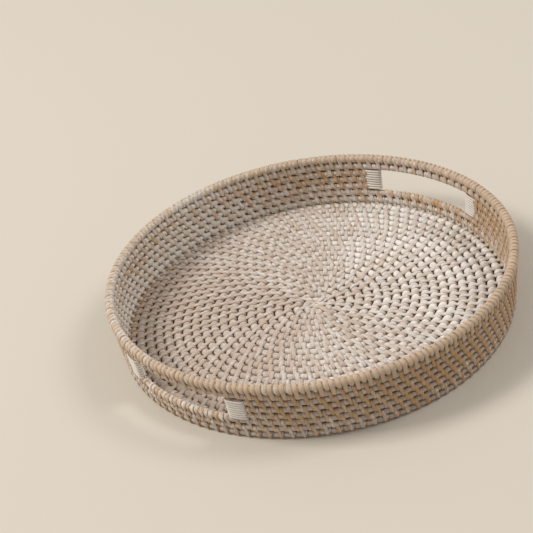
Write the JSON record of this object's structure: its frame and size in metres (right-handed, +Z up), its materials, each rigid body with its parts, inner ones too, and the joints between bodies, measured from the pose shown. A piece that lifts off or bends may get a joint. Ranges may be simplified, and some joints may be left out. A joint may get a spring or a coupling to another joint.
{
  "type": "serving tray",
  "caption": "Round coiled rattan serving tray with a low bound wall and two cut-out handles.",
  "frame": {"origin": "centre of the footprint, on the surface the tray stands on", "axes": "+Z up, towards the rim; +X towards the middle of one handle, -X towards the other"},
  "size_m": [0.356, 0.356, 0.0559],
  "materials": {
    "core": "whitewashed, matt",
    "strip": "whitewashed, satin",
    "tan_strip": "lightly whitewashed, satin"
  },
  "bodies": {
    "root": {"coil_start": "core", "coil_tail": "core", "floor_binding_inner": "strip", "floor_binding_middle": "strip", "floor_binding_outer": "strip", "floor_coil_inner": "core", "floor_coil_middle": "core", "floor_coil_outer": "core", "foot_coil": "core", "foot_wrap": "strip", "post_core_left_a": "core", "post_core_left_b": "core", "post_core_right_a": "core", "post_core_right_b": "core", "post_wrap_left_a": "tan_strip", "post_wrap_left_b": "tan_strip", "post_wrap_right_a": "tan_strip", "post_wrap_right_b": "tan_strip", "rim_rod": "core", "rim_stitches": "tan_strip", "rim_wraps": "tan_strip", "row_1_stitches": "strip", "row_2_stitches": "strip", "row_3_stitches": "strip", "row_4_stitches": "strip", "row_5_stitches": "strip", "sill_wraps_left": "tan_strip", "sill_wraps_right": "tan_strip", "wall_row_1": "core", "wall_row_2": "core", "wall_row_3_back": "core", "wall_row_3_front": "core", "wall_row_4_back": "core", "wall_row_4_front": "core", "wall_row_5_back": "core", "wall_row_5_front": "core", "wall_row_6": "core"}
  },
  "joints": []
}
